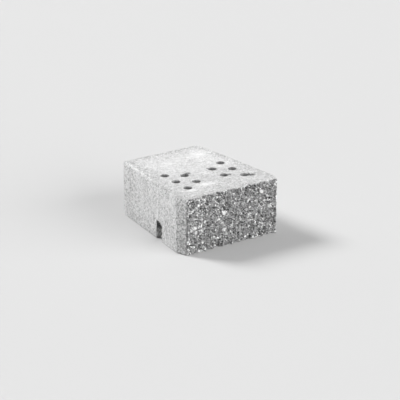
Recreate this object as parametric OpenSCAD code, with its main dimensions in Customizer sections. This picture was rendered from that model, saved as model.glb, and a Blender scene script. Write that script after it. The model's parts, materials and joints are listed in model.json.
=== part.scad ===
// Split-face retaining wall block, cast in one piece. Its rear tapers, its front corners are tapered too,
// ten blind holes in its top take locating pins, and a channel under it takes the pins of the course below.
// Millimetres. +Z is up, the split face looks along -Y, and the origin is the middle of the base.

/* [Block] */
// Width across the widest place, where the front corners start to taper
block_w = 300; // [240:1:360]
// Depth from the split face to the rear face
block_d = 336; // [270:1:410]
// Height of the block
block_h = 150; // [125:1:200]
// Width across the rear face
rear_w = 238; // [230:1:300]

/* [Corners] */
// How far each front corner tapers in towards the split face
corner_inset = 12; // [6:0.5:30]
// How far behind the split face each corner taper starts
corner_run = 33; // [15:0.5:50]
// Radius where a corner taper meets the side
side_edge_r = 5; // [1:0.5:12]
// Radius where a corner taper meets the split face
face_edge_r = 3; // [1:0.5:8]
// Radius of the two rear corners
rear_edge_r = 4; // [1:0.5:12]

/* [Pin holes] */
// Diameter of a pin hole
hole_d = 21; // [12:0.5:25]
// Depth of a pin hole
hole_depth = 70; // [40:1:75]
// Distance from the split face to the first row of holes
first_row = 75; // [60:1:90]
// Distance from one row of holes to the next
row_pitch = 27; // [22:0.5:34]
// Distance from the middle of the block to each outer column of holes
outer_column = 87.5; // [75:0.5:95]
// Distance from the middle of the block to each inner column of holes
inner_column = 43; // [25:0.5:52]

/* [Pin channel] */
// Width of the channel under the block
channel_w = 28; // [18:0.5:36]
// Height of the channel under the block
channel_h = 49; // [20:1:54]
// Radius of the channel's two upper corners
channel_r = 6; // [1:0.5:8]
// Row of holes that the channel lies under, counted from the split face
channel_row = 2; // [1:1:3]

/* [Hidden] */
arc_steps = 6; // straight steps in each rounded corner
past = 1;      // how far a cut runs past the face that it opens
$fn = 96;

face_y = -block_d / 2;
rear_y = block_d / 2;
face_w = block_w - 2 * corner_inset;
outer_rows = [0, 2, 4];
inner_rows = [1, 3];
channel_y = row_y(channel_row);

// Place along Y of a row of pin holes.
function row_y(row) = face_y + first_row + row * row_pitch;

// Points of the arc that rounds the corner at b, on the way from a to c, of a convex anticlockwise outline.
function corner_arc(a, b, c, r) =
    let (
        to_a = (a - b) / norm(a - b),
        to_c = (c - b) / norm(c - b),
        half = acos(to_a * to_c) / 2,
        centre = b + (to_a + to_c) / norm(to_a + to_c) * r / sin(half),
        first = b + to_a * r / tan(half) - centre,
        start = atan2(first.y, first.x),
        sweep = 180 - 2 * half
    )
    [for (i = [0 : arc_steps]) let (t = start + sweep * i / arc_steps) centre + r * [cos(t), sin(t)]];

// A convex anticlockwise outline with each corner rounded to its own radius, or left sharp at 0.
function rounded(points, radii) =
    let (n = len(points))
    [for (i = [0 : n - 1])
        each radii[i] > 0
            ? corner_arc(points[(i + n - 1) % n], points[i], points[(i + 1) % n], radii[i])
            : [points[i]]];

// The block seen from above: split face, corner tapers, tapering sides and rear face.
module block_plan() {
    polygon(rounded(
        [
            [-face_w / 2, face_y],
            [face_w / 2, face_y],
            [block_w / 2, face_y + corner_run],
            [rear_w / 2, rear_y],
            [-rear_w / 2, rear_y],
            [-block_w / 2, face_y + corner_run]
        ],
        [face_edge_r, face_edge_r, side_edge_r, rear_edge_r, rear_edge_r, side_edge_r]
    ));
}

// One blind pin hole, open at the top of the block.
module pin_hole(x, y) {
    translate([x, y, block_h - hole_depth])
        cylinder(d = hole_d, h = hole_depth + past);
}

// Five staggered pin holes on each side of the middle.
module pin_holes() {
    for (side = [-1, 1]) {
        for (row = outer_rows) pin_hole(side * outer_column, row_y(row));
        for (row = inner_rows) pin_hole(side * inner_column, row_y(row));
    }
}

// The channel that runs under the block from side to side.
module pin_channel() {
    translate([-block_w / 2 - past, channel_y, 0])
        rotate([90, 0, 90])
            linear_extrude(height = block_w + 2 * past)
                polygon(rounded(
                    [
                        [-channel_w / 2, -past],
                        [channel_w / 2, -past],
                        [channel_w / 2, channel_h],
                        [-channel_w / 2, channel_h]
                    ],
                    [0, 0, channel_r, channel_r]
                ));
}

module split_face_block() {
    color([0.78, 0.78, 0.78])
        difference() {
            linear_extrude(height = block_h) block_plan();
            pin_holes();
            pin_channel();
        }
}

split_face_block();
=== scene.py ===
"""The looks of a split-face retaining wall block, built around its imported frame.

The block is one casting. Its plain mesh is resampled, so that its points lie close together on the split
face and along sharp edges. A Geometry Nodes tree then breaks and wears that mesh, and one node material
gives the concrete its finish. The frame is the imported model's, in metres: +Z up, and the split face looking
along -Y.
"""

import json
import math
from collections import namedtuple

import bmesh
import bpy
import numpy as np
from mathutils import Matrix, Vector
from mathutils.geometry import delaunay_2d_cdt
from mathutils.kdtree import KDTree


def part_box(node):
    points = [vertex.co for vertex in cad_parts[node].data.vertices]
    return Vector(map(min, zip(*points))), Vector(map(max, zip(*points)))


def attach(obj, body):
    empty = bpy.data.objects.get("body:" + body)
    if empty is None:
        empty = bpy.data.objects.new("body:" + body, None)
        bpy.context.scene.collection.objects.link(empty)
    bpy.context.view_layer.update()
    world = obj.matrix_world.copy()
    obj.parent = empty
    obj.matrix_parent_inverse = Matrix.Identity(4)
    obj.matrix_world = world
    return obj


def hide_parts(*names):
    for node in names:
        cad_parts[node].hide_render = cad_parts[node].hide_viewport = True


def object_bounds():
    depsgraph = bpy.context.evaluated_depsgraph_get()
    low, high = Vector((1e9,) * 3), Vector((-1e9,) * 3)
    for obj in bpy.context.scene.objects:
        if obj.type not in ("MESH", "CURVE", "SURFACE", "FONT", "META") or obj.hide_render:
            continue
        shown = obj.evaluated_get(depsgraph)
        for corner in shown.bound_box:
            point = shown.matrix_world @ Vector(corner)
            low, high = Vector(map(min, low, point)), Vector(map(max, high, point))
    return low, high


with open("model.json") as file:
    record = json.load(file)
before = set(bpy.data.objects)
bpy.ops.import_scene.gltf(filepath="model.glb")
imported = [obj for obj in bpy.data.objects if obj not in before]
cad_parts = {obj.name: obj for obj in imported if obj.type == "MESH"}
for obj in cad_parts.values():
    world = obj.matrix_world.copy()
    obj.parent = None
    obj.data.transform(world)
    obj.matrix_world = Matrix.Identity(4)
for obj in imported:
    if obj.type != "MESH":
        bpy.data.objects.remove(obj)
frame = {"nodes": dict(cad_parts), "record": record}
cad_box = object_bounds()

NODE = "split_face_block"
MM = 0.001
SEED = 7

# How far apart the mesh's points lie
FINE = 1.15 * MM          # on the split face
EDGE = 1.5 * MM           # along sharp edges and the mould's line, and in the spalls
COARSE = 5.0 * MM         # in the middle of a plain face
FINE_REACH = 3.5 * MM     # how far from a sharp edge the points stay close
GROWTH = 0.33             # how fast they spread out beyond that
BEHIND_GROWTH = 0.10      # and how fast they spread out behind the split face
# As shares of that spacing
CROWDED = 0.84            # points of the grid that lie closer together than this are thinned
SHAKE = 0.13              # how far the points are shaken
BORDER_GAP = 0.6          # how close to the border of a flat they may lie

SHARP = math.radians(35)  # faces that meet at more than this make a sharp edge
FLAT = math.radians(1)    # faces that meet at less than this are one flat
SLIVER = 2e-9             # square metres, twice the area below which a triangle has no width
HAIR = 0.01 * MM          # places no further apart than this are the same
FACET = 0.12 * MM         # more than the facets of a pin hole fall short of the true round

MOULD_LINE = 138 * MM     # how far behind the split face the mould's joint left a line on each side

# From here on, and in the node trees, sizes are in millimetres and turns in degrees. A place is an oval, and
# reaches so far along its own axis and so far across it.
Place = namedtuple("Place", "x y z along across turn depth", defaults=(0,) * 7)

# Spalls and scrapes in the top, beside some of the holes
SPALLS = (
    Place(x=-32, y=-7, along=12, across=7, turn=28, depth=2.6),
    Place(x=-53, y=-16, along=6, across=5, turn=20, depth=1.6),
    Place(x=102, y=-103, along=10, across=13, turn=-34, depth=2.8),
    Place(x=35, y=-5, along=7, across=4.5, turn=135, depth=1.4),
    Place(x=57, y=-70, along=7, across=5, turn=-16, depth=1.2),
)
# Patches of the top where the paste lies smooth and pale
SMOOTH = (
    Place(x=65, y=98, along=34, across=17),
    Place(x=-36, y=-98, along=32, across=15),
    Place(x=-88, y=-117, along=20, across=11),
)
# The palest stones on the split face
PALE_STONES = (
    Place(x=-104, z=128, along=4.4, across=3.3),
    Place(x=-26, z=92, along=4.8, across=5.2),
    Place(x=92, z=124, along=5.2, across=4.0),
    Place(x=-116, z=69, along=5.6, across=4.4),
    Place(x=-112, z=57, along=3.8, across=4.6),
    Place(x=-26, z=47, along=6.0, across=3.6),
    Place(x=-45, z=26, along=5.2, across=3.6),
    Place(x=-83, z=80, along=3.8, across=3.8),
    Place(x=52, z=71, along=4.8, across=3.6),
    Place(x=118, z=78, along=3.8, across=4.2),
)
# The stones that show where the concrete is broken: their size, how much each leans, and how far it may
# stand out or in. Then the share of their places that has one, the darkest, the palest, and how much paler a
# white one is.
Stones = namedtuple("Stones", "size lean step share darkest palest whiter")
SMALL = Stones(size=3.6, lean=0.8, step=0.6, share=0.8, darkest=0.04, palest=0.48, whiter=0.75)
MIDDLE = Stones(size=6.5, lean=0.7, step=0.9, share=0.42, darkest=0.14, palest=0.4, whiter=0.7)
LARGE = Stones(size=12, lean=0.45, step=1.5, share=0.25, darkest=0.27, palest=0.39, whiter=0.0)
RECESS = 3.9                                                # how far back most of the split face lies
LEAST_RECESS = 0.15                                         # and how far back all of it lies
TAIL = 32.0                                                 # how far the faces beside it go back with it
BULGE = Place(x=-107, across=30, depth=1.8)                 # where it stands out from top to bottom
HOLLOW = Place(x=-48, z=4, along=15, across=24, depth=7.5)  # where a lump is missing from its lower edge
PIT = Place(y=-156, z=90, along=3.4, across=2.0)            # the darkest pit, in the left corner taper
BURR = Place(y=80, along=70, across=6)                      # the pale burr along the top's left edge
# In the channel, from the middle of its ceiling: the corner broken at each mouth, and the one that sags all
# along it
MOUTH_CHIP = Place(y=15, z=3, along=6, across=5)
SAG = Place(y=-14, z=0, along=13, across=12, depth=3.0)

# How pale things are, from 0 to 1
MOULDED_TONE = 0.77
CEMENT_TONE = 0.325
PALEST_STONE = 0.98
PALEST = 0.95
ROUGHNESS = 0.93


# ---------------------------------------- the plain casting, resampled


class Flat:
    """A plane stretch of the casting's surface: its own axes, and the edges around it."""

    def __init__(self, faces):
        self.normal = faces[0].normal.copy()
        upright = abs(self.normal.z) < 0.9
        self.u = (Vector((0, 0, 1)) if upright else Vector((0, 1, 0))).cross(self.normal).normalized()
        self.v = self.normal.cross(self.u)
        self.height = faces[0].verts[0].co.dot(self.normal)
        self.edges = set()

    def outer(self, points):
        """Whether every point lies on or behind this flat."""
        return (points @ np.array(self.normal)).max() < self.height + HAIR

    def flatten(self, points):
        """The places of points on this flat, along its own two axes."""
        return np.stack([points @ np.array(self.u), points @ np.array(self.v)], 1)

    def lift(self, places):
        """The points in space at these places on the flat."""
        across = np.outer(places[:, 0], self.u) + np.outer(places[:, 1], self.v)
        return across + np.array(self.normal * self.height)


def find_flats(bm):
    """The flats that a mesh is made of, each knowing the edges at its border."""
    flat_of = {}
    flats = []
    for seed_face in bm.faces:
        if seed_face in flat_of:
            continue
        group = [seed_face]
        flat_of[seed_face] = len(flats)
        for face in group:
            for edge in face.edges:
                for other in edge.link_faces:
                    if other not in flat_of and other.normal.angle(seed_face.normal) < FLAT:
                        flat_of[other] = len(flats)
                        group.append(other)
        flats.append(Flat(group))
    for edge in bm.edges:
        beside = {flat_of[face] for face in edge.link_faces}
        if len(beside) > 1:
            for number in beside:
                flats[number].edges.add(edge.index)
    return flats


def inside(places, starts, ends):
    """Which places lie inside the closed outline, or outlines, whose sides run from starts to ends."""
    crossings = np.zeros(len(places), int)
    x, y = places[:, 0], places[:, 1]
    for (ax, ay), (bx, by) in zip(starts, ends):
        if ay == by:
            continue
        spans = (ay > y) != (by > y)
        crossings += spans & (x < ax + (y - ay) * (bx - ax) / (by - ay))
    return crossings % 2 == 1


def tree_of(points):
    """A search tree over points."""
    tree = KDTree(len(points))
    for number, point in enumerate(points):
        tree.insert(point, number)
    tree.balance()
    return tree


def distances(points, tree):
    """How far each point is from the nearest point in the tree."""
    return np.array([tree.find(point)[2] for point in points])


def outline_at(bm, y, z):
    """The least and the greatest x at which a mesh's surface at height z crosses this y."""
    crossings = []
    for edge in bm.edges:
        a, b = (v.co for v in edge.verts)
        if abs(a.z - z) < HAIR and abs(b.z - z) < HAIR and (a.y - y) * (b.y - y) < 0:
            crossings.append(a.lerp(b, (y - a.y) / (b.y - a.y)).x)
    return min(crossings), max(crossings)


class Spacing:
    """How far apart the points of the resampled mesh lie, from place to place."""

    def __init__(self, bm, low, high):
        samples = []
        for edge in bm.edges:
            if edge.calc_face_angle(0) > SHARP:
                a, b = (np.array(v.co) for v in edge.verts)
                steps = max(1, math.ceil(edge.calc_length() / EDGE))
                samples += [a + (b - a) * i / steps for i in range(steps + 1)]
        line_y = low.y + MOULD_LINE
        for x in outline_at(bm, line_y, high.z):
            samples += [(x, line_y, z) for z in np.arange(low.z, high.z, EDGE)]
        for spall in SPALLS:
            turn = math.radians(spall.turn)
            along = Vector((math.cos(turn), math.sin(turn), 0)) * spall.along * MM
            middle = Vector((spall.x * MM, spall.y * MM, high.z))
            samples += [middle + along * i / 4 for i in range(-4, 5)]
        self.places = tree_of(samples)
        self.face_y = low.y

    def at(self, points):
        away = np.maximum(distances(points, self.places) - FINE_REACH, 0)
        spread = EDGE + GROWTH * away
        behind = points[:, 1] - self.face_y
        return np.clip(np.minimum(spread, FINE + BEHIND_GROWTH * behind), FINE, COARSE)


def divide(a, b, spacing):
    """Points between a and b, closer together where the spacing is finer."""
    length = np.linalg.norm(b - a)
    samples = np.linspace(0, 1, max(3, math.ceil(length / FINE)) + 1)
    density = length / spacing.at(a + np.outer(samples, b - a))
    total = np.concatenate([[0], np.cumsum((density[1:] + density[:-1]) / 2 * np.diff(samples))])
    count = max(1, round(total[-1]))
    places = np.interp(np.arange(1, count) * total[-1] / count, total, samples)
    return a + np.outer(places, b - a)


def rank(i, j):
    """How many times a square grid can be thinned, each time to every second point, before (i, j) goes."""
    level = np.zeros(i.shape, int)
    alive = (i + j) % 2 == 0
    step = 1
    while alive.any() and step < 64:
        level += alive
        both_even = alive & (i // step % 2 == 0) & (i % step == 0)
        level += both_even
        step *= 2
        alive = both_even & ((i // step + j // step) % 2 == 0) & (i % step == 0) & (j % step == 0)
    return level


def fill(flat, border, starts, ends, spacing, rng):
    """Points inside a flat: a grid, thinned where the spacing is wide, and shaken a little."""
    low, high = border.min(0), border.max(0)
    count = np.ceil((high - low) / FINE).astype(int)
    i, j = (a.ravel() for a in np.meshgrid(np.arange(count[0] + 1), np.arange(count[1] + 1)))
    places = low + (high - low - count * FINE) / 2 + np.stack([i, j], 1) * FINE
    kept = inside(places, starts, ends)
    i, j, places = i[kept], j[kept], places[kept]
    if not len(places):
        return places
    wanted = spacing.at(flat.lift(places))
    kept = FINE * math.sqrt(2) ** rank(i, j) > wanted * CROWDED
    places, wanted = places[kept], wanted[kept]
    if not len(places):
        return places
    places = places + rng.normal(0, SHAKE, places.shape) * wanted[:, None]
    near = distances(np.c_[places, np.zeros(len(places))], tree_of(np.c_[border, np.zeros(len(border))]))
    kept = (near > BORDER_GAP * wanted) & inside(places, starts, ends)
    return places[kept]


def resample(source):
    """The points and triangles of a CAD node's mesh, made anew with points where relief will need them."""
    bm = bmesh.new()
    bm.from_mesh(source.data)
    bmesh.ops.remove_doubles(bm, verts=bm.verts, dist=0.001 * MM)
    bm.normal_update()
    bm.edges.index_update()
    bm.verts.index_update()
    bm.edges.ensure_lookup_table()
    spacing = Spacing(bm, *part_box(NODE))
    rng = np.random.default_rng(SEED)
    flats = find_flats(bm)

    points = [np.array(v.co) for v in bm.verts]
    chains = {}
    for number in sorted({e for flat in flats for e in flat.edges}):
        a, b = bm.edges[number].verts
        between = divide(points[a.index], points[b.index], spacing)
        chains[number] = [a.index, *range(len(points), len(points) + len(between)), b.index]
        points.extend(between)

    triangles = []
    for flat in flats:
        sides = [pair for e in sorted(flat.edges) for pair in zip(chains[e][:-1], chains[e][1:])]
        used = sorted({p for pair in sides for p in pair})
        border = flat.flatten(np.array([points[p] for p in used]))
        local = {p: n for n, p in enumerate(used)}
        starts = border[[local[a] for a, _ in sides]]
        ends = border[[local[b] for _, b in sides]]
        within = fill(flat, border, starts, ends, spacing, rng)
        corners = [Vector(p) for p in [*border, *within]]
        rims = [(local[a], local[b]) for a, b in sides]
        _, _, faces, origins, _, _ = delaunay_2d_cdt(corners, rims, [], 0, 1e-8)
        ids = used + list(range(len(points), len(points) + len(within)))
        points.extend(flat.lift(within))
        faces = np.array([[origins[corner][0] for corner in face] for face in faces])
        places = np.array([*border, *within]).reshape(-1, 2)
        kept = (faces >= len(used)).any(1)
        doubtful = np.flatnonzero(~kept)
        a, b, c = (places[faces[doubtful, n]] for n in range(3))
        real = np.abs(np.cross(b - a, c - a)) > SLIVER
        kept[doubtful] = real & inside((a + b + c) / 3, starts, ends)
        triangles.append(np.array(ids)[faces[kept]])
    bm.free()
    points = np.array(points)
    sides = [flat for flat in flats if abs(flat.normal.z) < 0.1 and flat.outer(points)]
    margin = np.min([flat.height - points @ np.array(flat.normal) for flat in sides], 0)
    return points, np.concatenate(triangles), margin


# ---------------------------------------- node trees, in which lengths are millimetres


class Flow:
    """What comes out of a node's socket.

    Arithmetic on it adds Math nodes, or Vector Math where a value is a vector or a colour.
    """

    def __init__(self, nodes, socket):
        self.nodes = nodes
        self.socket = socket

    def maths(self, operation, *values):
        vector = any(isinstance(v, Flow) and v.socket.type in ("VECTOR", "RGBA") for v in values)
        kind = "ShaderNodeVectorMath" if vector else "ShaderNodeMath"
        return self.nodes.add(kind, {"operation": operation}, *values)

    def __add__(self, other):
        return self.maths("ADD", self, other)

    def __radd__(self, other):
        return self.maths("ADD", other, self)

    def __sub__(self, other):
        return self.maths("SUBTRACT", self, other)

    def __rsub__(self, other):
        return self.maths("SUBTRACT", other, self)

    def __mul__(self, other):
        return self.maths("MULTIPLY", self, other)

    def __rmul__(self, other):
        return self.maths("MULTIPLY", other, self)

    def __truediv__(self, other):
        return self.maths("DIVIDE", self, other)

    def __pow__(self, other):
        return self.maths("POWER", self, other)

    def __lt__(self, other):
        return self.maths("LESS_THAN", self, other)

    def __gt__(self, other):
        return self.maths("GREATER_THAN", self, other)

    def __abs__(self):
        return self.maths("ABSOLUTE", self)

    def of(self, name):
        """Another output of the same node."""
        return Flow(self.nodes, self.socket.node.outputs[name])

    def least(self, other):
        return self.maths("MINIMUM", self, other)

    def most(self, other):
        return self.maths("MAXIMUM", self, other)

    def towards(self, other, share):
        """This where share is 0, the other where it is 1, and a mixture in between."""
        return self + (other - self) * share


class Nodes:
    """Adds nodes to one tree."""

    def __init__(self, tree):
        self.tree = tree

    def add(self, kind, settings=None, *values, out=0, **named):
        """A node: its settings, which come first, and its sockets' values or links. Returns one output."""
        node = self.tree.nodes.new(kind)
        for name, value in (settings or {}).items():
            setattr(node, name, value)
        sockets = [s for s in node.inputs if s.enabled]
        by_name = {s.name.replace(" ", "_"): s for s in reversed(sockets)}
        for socket, value in [*zip(sockets, values), *((by_name[n], v) for n, v in named.items())]:
            if isinstance(value, Flow):
                self.tree.links.new(value.socket, socket)
            elif value is not None:
                numbers = hasattr(socket.default_value, "__len__") and not isinstance(value, (tuple, str))
                socket.default_value = (value,) * len(socket.default_value) if numbers else value
        outputs = [s for s in node.outputs if s.enabled]
        if not outputs:
            return None
        return Flow(self, outputs[out] if isinstance(out, int) else node.outputs[out])

    def parts(self, vector):
        """The X, Y and Z of a vector."""
        x = self.add("ShaderNodeSeparateXYZ", None, vector)
        return x, x.of("Y"), x.of("Z")

    def vector(self, x, y, z):
        return self.add("ShaderNodeCombineXYZ", None, x, y, z)

    def dot(self, a, b):
        return self.add("ShaderNodeVectorMath", {"operation": "DOT_PRODUCT"}, a, b)

    def unit(self, vector):
        return self.add("ShaderNodeVectorMath", {"operation": "NORMALIZE"}, vector)

    def scaled(self, vector, factor):
        return self.add("ShaderNodeVectorMath", {"operation": "SCALE"}, vector, Scale=factor)

    def ramp(self, value, low, high, soft=True):
        """0 where value is below low and 1 above high, or the other way round if high is the smaller."""
        style = "SMOOTHSTEP" if soft else "LINEAR"
        return self.add("ShaderNodeMapRange", {"interpolation_type": style}, value, low, high, 0.0, 1.0)

    def noise(self, at, size, seed, detail=2.0, roughness=0.5):
        """Cloudy noise about 0.5, with clouds of about that size. Each use has a seed of its own."""
        return self.add(
            "ShaderNodeTexNoise", {"noise_dimensions": "4D"},
            Vector=at, W=seed, Scale=1 / size, Detail=detail, Roughness=roughness,
        )

    def swing(self, at, size, seed, detail=2.0, roughness=0.5):
        """The same noise about 0, mostly within 1 either way."""
        return (self.noise(at, size, seed, detail, roughness) - 0.5) * 4

    def warped(self, at, size, amount, seed):
        """Places pushed about, so that what is drawn at them loses its regular shape."""
        push = self.noise(at, size, seed, detail=1).of("Color") - 0.5
        return at + push * amount

    def cells(self, at, size):
        """How far each place is from the middle of its cell, in cells of about that size."""
        return self.add("ShaderNodeTexVoronoi", None, Vector=at, Scale=1 / size)

    def oval(self, a, b, place, axes):
        """How far points are from the middle of an oval, along two of its axes, with 1 at its outline."""
        turn = math.radians(place.turn)
        da, db = a - getattr(place, axes[0]), b - getattr(place, axes[1])
        far = (da * math.cos(turn) + db * math.sin(turn)) / place.along
        wide = (db * math.cos(turn) - da * math.sin(turn)) / place.across
        return (far * far + wide * wide) ** 0.5

    def grey(self, tone):
        """A colour from a number."""
        return self.add("ShaderNodeMix", {"data_type": "RGBA"}, tone, A=(0, 0, 0, 1), B=(1, 1, 1, 1))

    def stones(self, at, kind):
        """How high each place lies on its stone, how far it is from the stone's middle, and two chances."""
        at = self.warped(at, 0.6 * kind.size, 0.75 * kind.size, kind.size)
        away = self.cells(at, kind.size)
        chances = away.of("Color")
        slope = self.dot(at - away.of("Position"), chances - 0.5) * (2 * kind.lean)
        first, second, third = self.parts(chances)
        return slope + (first - 0.5) * (2 * kind.step), away, second, third


# ---------------------------------------- relief


class Relief(Nodes):
    """The Geometry Nodes tree that breaks the split face of the plain casting and wears its edges."""

    def __init__(self, sizes):
        super().__init__(bpy.data.node_groups.new("worn and broken casting", "GeometryNodeTree"))
        sockets = self.tree.interface
        sockets.new_socket("Geometry", in_out="INPUT", socket_type="NodeSocketGeometry")
        for name in sizes:
            kind = "NodeSocketMaterial" if name == "Concrete" else "NodeSocketFloat"
            sockets.new_socket(name, in_out="INPUT", socket_type=kind)
        sockets.new_socket("Geometry", in_out="OUTPUT", socket_type="NodeSocketGeometry")
        inputs = self.tree.nodes.new("NodeGroupInput")
        self.given = {socket.name: Flow(self, socket) for socket in inputs.outputs if socket.name}
        self.seed = self.given["Seed"]
        self.body = self.given["Geometry"]
        self.remember_casting()
        self.break_face()
        self.wear_edges()
        self.chip_edges()
        self.sink_spalls()
        self.roughen_walls()
        self.trim()
        self.note_broken_places()
        self.hand_over()

    def place(self):
        return self.add("GeometryNodeInputPosition") / MM

    def mark(self, name, value, kind="FLOAT"):
        """Keeps a value on every point, for the steps that follow and for the finish."""
        settings = {"data_type": kind, "domain": "POINT"}
        self.body = self.add("GeometryNodeStoreNamedAttribute", settings, self.body, None, name, value)

    def marked(self, name, kind="FLOAT"):
        return self.add("GeometryNodeInputNamedAttribute", {"data_type": kind}, name)

    def move(self, offset):
        self.body = self.add("GeometryNodeSetPosition", None, self.body, Offset=offset * MM)

    def move_to(self, place):
        self.body = self.add("GeometryNodeSetPosition", None, self.body, Position=place * MM)

    def smoothed(self, value, rounds, weight=1.0, kind="FLOAT"):
        return self.add("GeometryNodeBlurAttribute", {"data_type": kind}, value, rounds, weight)

    def remember_casting(self):
        """Keeps each point's place on the plain casting, and how far it is from a sharp edge."""
        self.mark("cast", self.place(), "FLOAT_VECTOR")
        sharp = self.add("GeometryNodeInputMeshEdgeAngle") > SHARP
        edges = self.add("GeometryNodeSeparateGeometry", {"domain": "EDGE"}, self.given["Geometry"], sharp)
        from_edge = self.add("GeometryNodeProximity", {"target_element": "EDGES"}, edges, out="Distance")
        self.mark("arris", from_edge / MM)
        self.cast = self.marked("cast", "FLOAT_VECTOR")
        self.arris = self.marked("arris")
        self.x, self.y, self.z = self.parts(self.cast)
        self.near_edge = self.ramp(self.arris, 5.5, 1.0)
        self.behind = self.y - self.given["Split face"]
        self.from_corner = self.given["Split half width"] - abs(self.x)
        self.from_channel = self.y - self.given["Channel middle"]
        self.over_channel = self.z - self.given["Channel height"]

    def split_rise(self, at):
        """How far out each place of the split face stands: waves, lumps, stones of each size, and grit."""
        waves = self.swing(at, 85, self.seed, detail=1) * 1.4
        lumps = self.swing(at, 26, self.seed + 1, detail=2, roughness=0.55) * 1.3
        rise = waves + lumps
        for kind in (LARGE, MIDDLE, SMALL):
            rise = rise + self.stones(at, kind)[0]
        rise = rise + self.swing(at, 2.6, self.seed + 2, detail=2, roughness=0.6) * 0.4
        for stone in PALE_STONES:
            here = self.oval(self.x, self.z, stone, "xz")
            rise = rise + self.ramp(here, 1.25, 0.6) * 1.5
        return rise

    def break_face(self):
        """Pushes the split face back, stone by stone, and carries the faces beside it back with it.

        The points beside its ragged outline are then evened out, so that few of the triangles there fold.
        """
        at = self.vector(self.x, 0.0, self.z)
        rise = self.split_rise(at)
        bulge = self.ramp(abs(self.x - BULGE.x), BULGE.across, 0.2 * BULGE.across) * BULGE.depth
        groove = self.ramp(abs(self.from_corner - 5.5), 4.0, 0.5) * 1.4
        hollow = self.oval(self.x, self.z, HOLLOW, "xz")
        hollow = self.ramp(hollow + self.swing(at, 13, self.seed + 3) * 0.25, 1.05, 0.35) * HOLLOW.depth
        lip = self.ramp(self.from_corner, 0.3, 5.0)
        recess = ((RECESS - rise - bulge + groove + hollow) * lip).most(LEAST_RECESS)
        share = self.ramp(self.behind, TAIL, 0.0, soft=False) ** 1.5
        self.move(self.vector(0.0, recess * share, 0.0))
        self.mark("split", self.behind < 0.02)
        outline = (1 - self.marked("split")) * self.ramp(self.behind, TAIL / 2, TAIL / 4)
        outline = outline * self.ramp(self.from_corner, 0.5, 3.0)
        self.move_to(self.smoothed(self.place(), 12, outline, "FLOAT_VECTOR"))
        level = self.parts(self.place())[1]
        # How much deeper each point of the split face lies than its surroundings; the finish paints shade
        # there.
        self.mark("deep", (level - self.smoothed(level, 6)) * self.marked("split") * lip)

    def wear_edges(self):
        """Rounds everything sharp a little, more in some places than in others."""
        clouds = self.noise(self.cast, 30, self.seed + 4, detail=3, roughness=0.6)
        wear = self.ramp(clouds, 0.35, 0.7) * 0.6 + 0.25
        wear = wear * (1 - self.marked("split") * 0.7)
        self.move_to(self.smoothed(self.place(), 4, self.near_edge * wear, "FLOAT_VECTOR"))

    def chip_edges(self):
        """Chips the edges, most along the split face and at the mouths of the channel.

        A chip goes inwards along a softened normal, so that both sides of an edge go down together.
        """
        grain = self.noise(self.warped(self.cast, 5, 3, 11.0), 9, self.seed + 5, detail=2.5, roughness=0.6)
        small = self.ramp(grain, 0.60, 0.74, soft=False) * self.ramp(self.arris, 4.5, 0.5) * 1.9
        big = self.ramp(grain, 0.45, 0.66, soft=False) * self.ramp(self.arris, 6.0, 0.5) * 4.2
        on_front = self.ramp(self.behind, 4.0, 1.0) * self.ramp(self.from_corner, 6.0, 26.0)
        corner = self.oval(self.from_channel, self.over_channel, MOUTH_CHIP, "yz")
        around = self.ramp(abs(self.from_channel), 24.0, 16.0) * self.ramp(self.over_channel, 12.0, 4.0)
        by_mouth = self.ramp(corner, 1.2, 0.6).most(around * 0.3) * (self.marked("margin") < 6)
        self.mark("chip", small.towards(big, on_front.most(by_mouth)))
        outwards = self.unit(self.smoothed(self.add("GeometryNodeInputNormal"), 9, 1.0, "FLOAT_VECTOR"))
        self.move(self.scaled(outwards, self.marked("chip") * -1.0))

    def sink_spalls(self):
        """Sinks the spalls and scrapes beside some of the holes."""
        ragged = self.swing(self.cast, 5, self.seed + 9, detail=2, roughness=0.6) * 0.3
        below = self.given["Top"] - self.z
        sunk = None
        for spall in SPALLS:
            here = self.ramp(self.oval(self.x, self.y, spall, "xy") + ragged, 1.1, 0.5) * spall.depth
            sunk = sunk.most(here) if sunk else here
        self.mark("spall", sunk * self.ramp(below, 10.0, 0.0, soft=False))
        self.move(self.vector(0.0, 0.0, self.marked("spall") * -1.0))

    def roughen_walls(self):
        """Roughens the channel, sags a corner of its ceiling, and makes the moulded faces uneven.

        The line of the mould's joint stands out from them a little.
        """
        half_width = self.given["Channel half width"]
        self.mark("channel", (abs(self.from_channel) < half_width + 0.05) * (self.over_channel < 0.05))
        margin = self.marked("margin")
        from_line = abs(self.y - self.given["Mould line"] + self.swing(self.cast, 20, self.seed + 10) * 0.5)
        line = self.ramp(from_line, 3.4, 1.9) * (1 - self.ramp(self.z, 85.0, 135.0) * 0.5) * (margin < 0.1)
        self.mark("line", line * self.ramp(self.arris, 1.0, 4.0) * (1 - self.marked("channel")))
        uneven = self.noise(self.cast, 38, self.seed + 7, detail=2) * 0.45
        sandy = self.noise(self.cast, 3.2, self.seed + 8, detail=2) * self.near_edge * 0.5
        moulded = self.marked("line") * 0.8 - uneven - sandy
        rough = self.swing(self.cast, 9, self.seed + 6, detail=3, roughness=0.65) * -2.6
        outwards = moulded.towards(rough, self.marked("channel")) * (1 - self.marked("split"))
        self.move(self.scaled(self.add("GeometryNodeInputNormal"), outwards))
        sag = self.ramp(self.oval(self.from_channel, self.over_channel, SAG, "yz"), 1.0, 0.1) * SAG.depth
        sag = sag * self.marked("channel")
        self.move(self.vector(0.0, sag * 0.5, sag * -1.0))

    def trim(self):
        """Keeps everything between the floor and the top."""
        x, y, z = self.parts(self.place())
        self.move_to(self.vector(x, y, z.most(0.0).least(self.given["Top"])))

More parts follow.
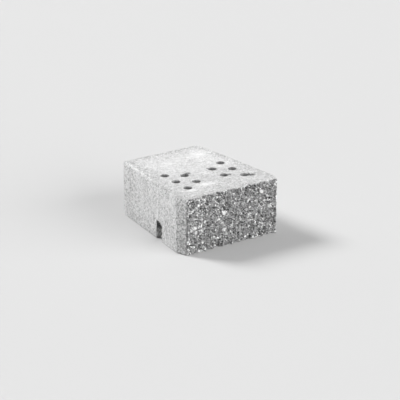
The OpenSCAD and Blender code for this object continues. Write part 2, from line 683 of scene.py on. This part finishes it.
    def note_broken_places(self):
        """Marks where the stones show, and where the split face turns its corner."""
        ragged = self.swing(self.cast, 6, self.seed + 11, detail=2, roughness=0.6) * 1.4
        turned = self.ramp(self.behind + ragged, 5.0, 2.6) * self.ramp(self.from_corner, 1.5, 0.5)
        hurt = self.ramp(self.marked("chip"), 0.8, 2.0).most(self.ramp(self.marked("spall"), 0.2, 0.7))
        self.mark("broken", self.smoothed(self.marked("split").most(turned).most(hurt), 1))
        corner = self.ramp(abs(self.from_corner + 1), 3.5, 1.5)
        self.mark("corner", corner * self.ramp(self.behind, 7.0, 3.0))

    def hand_over(self):
        body = self.add("GeometryNodeSetShadeSmooth", None, self.body)
        body = self.add("GeometryNodeRealizeInstances", None, body)
        body = self.add("GeometryNodeSetMaterial", None, body, Material=self.given["Concrete"])
        self.add("NodeGroupOutput", None, body)


# ---------------------------------------- finish


class Finish(Nodes):
    """The concrete: pale and sandy where it was moulded, full of broken stones where it was split."""

    def __init__(self, top, face_y, widest_y):
        self.material = bpy.data.materials.new("concrete")
        self.material.use_nodes = True
        super().__init__(self.material.node_tree)
        self.tree.nodes.clear()
        self.cast = self.marked("cast", "Vector")
        self.x, self.y, self.z = self.parts(self.cast)
        self.arris = self.marked("arris")
        self.margin = self.marked("margin")
        self.channel = self.marked("channel")
        self.upper = self.ramp(self.z, top - 1.2, top - 0.4)
        self.taper = self.ramp(self.y, widest_y + 1, widest_y - 1) * (1 - self.upper)
        self.top = top
        self.face_y = face_y
        moulded, moulded_height = self.moulded()
        broken, broken_height, shine = self.broken()
        # The channel takes the broken finish, whose darker tone is partly painted shade in the channel.
        rough = self.marked("broken").most(self.channel)
        tone = moulded.towards(broken, rough).least(PALEST)
        height = moulded_height.towards(broken_height, rough)
        bump = self.add("ShaderNodeBump", None, Strength=1.0, Distance=MM, Height=height)
        shader = self.add(
            "ShaderNodeBsdfPrincipled", None,
            Base_Color=self.grey(tone),
            Roughness=ROUGHNESS - shine * rough,
            Specular_IOR_Level=0.3,
            Normal=bump,
        )
        self.add("ShaderNodeOutputMaterial", None, shader)

    def marked(self, name, out="Fac"):
        return self.add("ShaderNodeAttribute", {"attribute_name": name}, out=out)

    def pit(self):
        """Where the darkest pit is."""
        return self.ramp(self.oval(self.y, self.z, PIT, "yz"), 1.2, 0.6) * (self.x < 0)

    def smooth_paste(self, ragged):
        """Where the paste on the top lies smooth and pale."""
        streaks = self.swing(self.vector(self.x * 0.4, self.y, self.z), 7, 49.0, detail=3, roughness=0.65)
        smooth = self.ramp(ragged, 0.25, 0.9) * 0.4
        for patch in SMOOTH:
            here = self.oval(self.x, self.y, patch, "xy")
            smooth = smooth.most(self.ramp(here + ragged * 0.35 + streaks * 0.5, 1.2, 0.35))
        return smooth * self.upper

    def grains(self, at):
        """How pale or dark each grain in a moulded face is, and where one fell out and left a pit."""
        coarse = self.cells(self.warped(self.warped(at, 5, 3.0, 41.0), 1.5, 1.8, 48.0), 5.4)
        tone, lost, size = self.parts(coarse.of("Color"))
        fine = self.cells(self.warped(at, 1.3, 2.0, 47.0), 2.7)
        fine_tone, fine_lost, _ = self.parts(fine.of("Color"))
        pits = self.ramp(coarse, size * 0.3 + 0.25, size * 0.3 + 0.05) * self.ramp(lost, 0.12, 0.10)
        small_pits = self.ramp(fine, 0.6, 0.35) * self.ramp(fine_lost, 0.14, 0.12)
        speckle = (tone - 0.5) * self.ramp(coarse, 0.75, 0.4) * 0.4 + (fine_tone - 0.5) * 0.6
        return speckle, pits.most(small_pits * 0.8)

    def moulded(self):
        """The tone and height of the moulded faces: sand in paste, dragged as the block left its mould."""
        upper = self.upper
        dragged = self.vector(self.x, self.y, self.z * 0.85)
        ragged = self.swing(self.cast, 16, 36.0, detail=3, roughness=0.6)
        wander = ragged * 9
        border = self.ramp(self.margin + ragged * 6, 34.0, 8.0)
        smooth = self.smooth_paste(ragged)
        dull = self.ramp(self.y + wander, 5.0, -50.0).most(self.ramp(self.x + wander, -70.0, -112.0))
        dull = dull * upper * (1 - smooth)
        grit = 1 - (upper * 0.5 + smooth * 0.35) * (1 - border) * (1 - dull * 0.4)

        clouds = self.swing(self.cast, 55, 31.0, detail=3, roughness=0.6)
        swirled = self.warped(self.cast, 24, 14, 45.0)
        marbling = self.swing(swirled, 17, 46.0, detail=3, roughness=0.6) * upper
        mottle = self.swing(dragged, 7, 32.0, detail=3, roughness=0.75)
        sand = self.swing(dragged, 2.2, 33.0, detail=2, roughness=0.7)
        speckle, pits = self.grains(dragged)
        pits = (pits * grit).most(self.pit())
        tone = 1 + clouds * 0.1 + marbling * 0.09 + mottle * 0.13
        # On the corner taper the speckle is painted stronger, as painted shading of the grain under grazing
        # light.
        tone = tone + (speckle + sand * 0.3) * grit * (1 + self.taper * 0.4)
        # Painted shade in the pits.
        tone = tone * (1 - pits * 0.5)
        height = (sand * 0.9 + mottle * 0.4 + speckle * 0.5) * grit - pits * 1.2

        foot = self.ramp(self.z + wander, 110.0, -10.0, soft=False)
        # Painted shade: the corner taper is darker than the sides, more so towards the bottom.
        taper = self.taper * (0.25 - self.ramp(self.z, 20.0, 150.0, soft=False) * 0.16)
        tone = tone * MOULDED_TONE * (1 - foot * 0.13) * (1 - taper)
        # The factor on upper is painted shade: the top is darker than the sides, against the stronger light
        # that falls on it.
        tone = tone * (1 - dull * 0.07) * (1 - upper * 0.185)
        tone = tone * (1 + smooth * 0.12) * (1 + self.edges())
        return tone, height

    def edges(self):
        """How much paler, or darker, the moulded faces are at their edges and in the holes: the edges partly
        rubbed and partly painted light, the holes painted shade.
        """
        patchy = self.ramp(self.noise(self.cast, 22, 42.0, detail=2), 0.36, 0.54)
        # The edges are paler where rubbed, and paler still as painted light against the shade of their
        # rounding.
        rubbed_and_lit = self.ramp(self.arris, 4.0, 0.5) * patchy
        front = self.ramp(self.y - self.face_y, 17.0, 7.0) * self.ramp(self.x, -70.0, 10.0) * self.upper
        burr = self.ramp(self.margin, BURR.across + 1, BURR.across - 1)
        burr = burr * self.ramp(self.z, self.top - 6, self.top - 2)
        burr = burr * self.ramp(abs(self.y - BURR.y), BURR.along + 16, BURR.along - 16) * (self.x < 0)
        # Painted shade: the walls of the pin holes are darker.
        bore = self.marked("bore")
        return rubbed_and_lit * 0.2 + front * 0.07 + burr * 0.32 + self.marked("line") * 0.55 - bore * 0.6

    def broken(self):
        """The tone, height and shine of the broken faces: stones of three sizes in rough cement."""
        at = self.vector(self.x, self.y - self.face_y, self.z)
        rough = self.swing(at, 2.4, 35.0, detail=3, roughness=0.7)
        tone = CEMENT_TONE + rough * 0.6
        lumps = self.swing(self.cast, 9, 34.0, detail=3, roughness=0.6)
        tone = tone + lumps * (self.channel * 0.25 + 0.05)
        height = rough * 0.8
        shine = 0.0
        # paler raises the share of white stones and the tone; towards the left end it is partly painted light
        # on the split face.
        paler = self.ramp(self.x, -60.0, -120.0) * 0.04
        paler = paler + self.swing(self.cast, 50, 44.0, detail=1) * 0.06 + 0.06
        for kind in (SMALL, MIDDLE, LARGE):
            rise, away, shown, shade = self.stones(at, kind)
            here = self.ramp(away, 0.62, 0.5) * self.ramp(shown, kind.share + 0.01, kind.share - 0.01)
            white = self.ramp(shade + paler, 0.785, 0.835)
            stone = self.ramp(shade, 0.1, 0.8) * (kind.palest - kind.darkest) + kind.darkest
            tone = tone.towards(stone + white * kind.whiter + rough * 0.2, here)
            height = height + rise * 0.35
            shine = shine + (white * 0.35 - shine) * here
        # Painted shade: the split face is darker where it lies deeper than its surroundings.
        tone = tone * (1 - self.ramp(self.marked("deep"), -0.2, 1.6) * 0.3) * (1 + paler)
        for stone in PALE_STONES:
            here = self.oval(self.x, self.z, stone, "xz") + rough * 0.15
            tone = tone.towards(PALEST_STONE, self.ramp(here, 1.2, 0.95) * self.marked("split"))
        tone = tone * (1 - self.ramp(self.marked("spall"), 0.1, 0.8) * 0.45)
        # Painted shadow along the groove where the split face meets the corner taper.
        tone = tone * (1 - self.marked("corner") * 0.08)
        # In the channel, painted light from the floor makes the lower part paler, and painted shade darkens
        # the upper part near the mouths.
        low = self.channel * self.ramp(self.z + lumps * 8, 36.0, 16.0)
        tone = tone + low * (0.36 + lumps * 0.25)
        dim = self.channel * self.ramp(self.margin, 22.0, 0.0) * self.ramp(self.z, 20.0, 40.0)
        return tone * (1 - dim * 0.4), height, shine


# ---------------------------------------- the block


def pin_hole_centres(mounts):
    """Where the pin holes are, from the patterns that the record states."""
    centres = []
    for mount in mounts:
        if mount["kind"] != "bolt_pattern":
            continue
        half_x, half_y = (mount["dims"].get(f"spacing_{a}_mm", 0) * MM / 2 for a in "xy")
        at_x, at_y, _ = mount["pos_m"]
        places = {(at_x + i * half_x, at_y + j * half_y) for i in (-1, 1) for j in (-1, 1)}
        centres += sorted(places)
    return centres


def true_bores(points, centres, radius):
    """Moves the points on the walls of the pin holes out from their facets to the true round.

    Returns which points lie in a hole.
    """
    bored = np.zeros(len(points))
    for x, y in centres:
        arm = points[:, :2] - (x, y)
        reach = np.hypot(*arm.T)
        floor_z = points[reach < radius / 2, 2].max()
        in_hole = (reach < radius + FACET) & (points[:, 2] > floor_z - HAIR)
        wall = in_hole & (reach > radius - FACET)
        points[wall, :2] = (x, y) + arm[wall] * (radius / reach[wall])[:, None]
        bored[in_hole] = 1
    return bored


def block_sizes(points, low, high, channel_y):
    """The sizes that the relief follows, in millimetres, measured on the plain casting."""
    x, y, z = points.T
    half_channel = abs(y[z < low.z + HAIR] - channel_y).min()
    metres = {
        "Split face": low.y,
        "Split half width": x[y < low.y + HAIR].max(),
        "Top": high.z,
        "Channel middle": channel_y,
        "Channel half width": half_channel,
        "Channel height": z[abs(y - channel_y) < half_channel / 2].min(),
        "Mould line": low.y + MOULD_LINE,
    }
    return {name: float(size) / MM for name, size in metres.items()}


def plain_casting(points, triangles, marks):
    """An object of the resampled mesh, with what is known of each point kept on it."""
    mesh = bpy.data.meshes.new("casting")
    mesh.from_pydata(points.tolist(), [], triangles.tolist())
    for name, values in marks.items():
        mesh.attributes.new(name, "FLOAT", "POINT").data.foreach_set("value", values.astype(np.float32))
    casting = bpy.data.objects.new("casting", mesh)
    bpy.context.scene.collection.objects.link(casting)
    return casting


def make_block(source, mounts):
    """The block: the plain casting resampled, then broken and worn."""
    points, triangles, margin = resample(source)
    radius = mounts["outer_pin_holes"]["dims"]["hole_r_mm"] * MM
    bored = true_bores(points, pin_hole_centres(mounts.values()), radius)
    sizes = block_sizes(points, *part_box(NODE), mounts["pin_channel"]["pos_m"][1])
    finish = Finish(sizes["Top"], sizes["Split face"], points[points[:, 0].argmax(), 1] / MM)
    casting = plain_casting(points, triangles, {"margin": margin / MM, "bore": bored})

    given = {**sizes, "Seed": float(SEED), "Concrete": finish.material}
    modifier = casting.modifiers.new("relief", "NODES")
    modifier.node_group = Relief(given).tree
    for item in modifier.node_group.interface.items_tree:
        if item.in_out == "INPUT" and item.name in given:
            modifier[item.identifier] = given[item.name]
    bpy.context.view_layer.update()
    depsgraph = bpy.context.evaluated_depsgraph_get()
    made = bpy.data.meshes.new_from_object(casting.evaluated_get(depsgraph))
    bpy.data.objects.remove(casting)
    block = bpy.data.objects.new("block", made)
    bpy.context.scene.collection.objects.link(block)
    return block


# ---------------------------------------- the room


def camera(aim):
    """Looks down on the block's top, left side and split face."""
    azimuth, elevation, distance = math.radians(-33.92), math.radians(21.0), 4.27
    flat = math.cos(elevation)
    back = Vector((math.sin(azimuth) * flat, -math.cos(azimuth) * flat, math.sin(elevation)))
    data = bpy.data.cameras.new("camera")
    data.lens, data.sensor_width = 147.15, 36
    data.shift_x, data.shift_y = 0.0101, -0.0064
    made = bpy.data.objects.new("camera", data)
    made.location = aim + back * distance
    made.rotation_euler = (-back).to_track_quat("-Z", "Y").to_euler()
    bpy.context.scene.collection.objects.link(made)
    bpy.context.scene.camera = made


def lamp(name, towards, strength, softness):
    """A far lamp: which way it lies, its strength, and how wide it looks in degrees."""
    data = bpy.data.lights.new(name, "SUN")
    data.energy, data.angle = strength, math.radians(softness)
    made = bpy.data.objects.new(name, data)
    made.rotation_euler = Vector(towards).to_track_quat("Z", "Y").to_euler()
    bpy.context.scene.collection.objects.link(made)


def lights():
    """A soft key lamp behind on the left, a wide fill lamp low in front, and a sky brightest overhead."""
    lamp("key lamp", (-0.38, 0.63, 0.67), 2.95, 22)
    lamp("fill lamp", (0.43, -0.89, 0.14), 5.2, 70)
    world = bpy.data.worlds.new("world")
    world.use_nodes = True
    world.node_tree.nodes.clear()
    w = Nodes(world.node_tree)
    ray = w.add("ShaderNodeLightPath", out="Is Camera Ray")
    seen = ray.most(ray.of("Is Glossy Ray")).most(ray.of("Is Transmission Ray"))
    _, _, up = w.parts(w.add("ShaderNodeTexCoord", out="Generated"))
    sky = up.most(0.0) * 0.40 + 0.12
    background = w.add("ShaderNodeBackground", None, w.grey(sky.towards(0.86, seen)), 1.0)
    w.add("ShaderNodeOutputWorld", None, background)
    bpy.context.scene.world = world


def floor():
    """A plain pale floor."""
    mesh = bpy.data.meshes.new("floor")
    reach = 20
    corners = [(-reach, -reach, 0), (reach, -reach, 0), (reach, reach, 0), (-reach, reach, 0)]
    mesh.from_pydata(corners, [], [range(4)])
    made = bpy.data.objects.new("floor", mesh)
    bpy.context.scene.collection.objects.link(made)
    material = bpy.data.materials.new("floor")
    material.use_nodes = True
    shader = material.node_tree.nodes["Principled BSDF"]
    shader.inputs["Base Color"].default_value = (0.56, 0.56, 0.56, 1)
    shader.inputs["Roughness"].default_value = 0.9
    mesh.materials.append(material)


camera((cad_box[0] + cad_box[1]) / 2)
lights()
floor()
block = make_block(frame["nodes"][NODE], {mount["name"]: mount for mount in frame["record"]["mounts"]})
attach(block, "root")
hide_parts(NODE)
bpy.context.scene.view_settings.view_transform = "Standard"
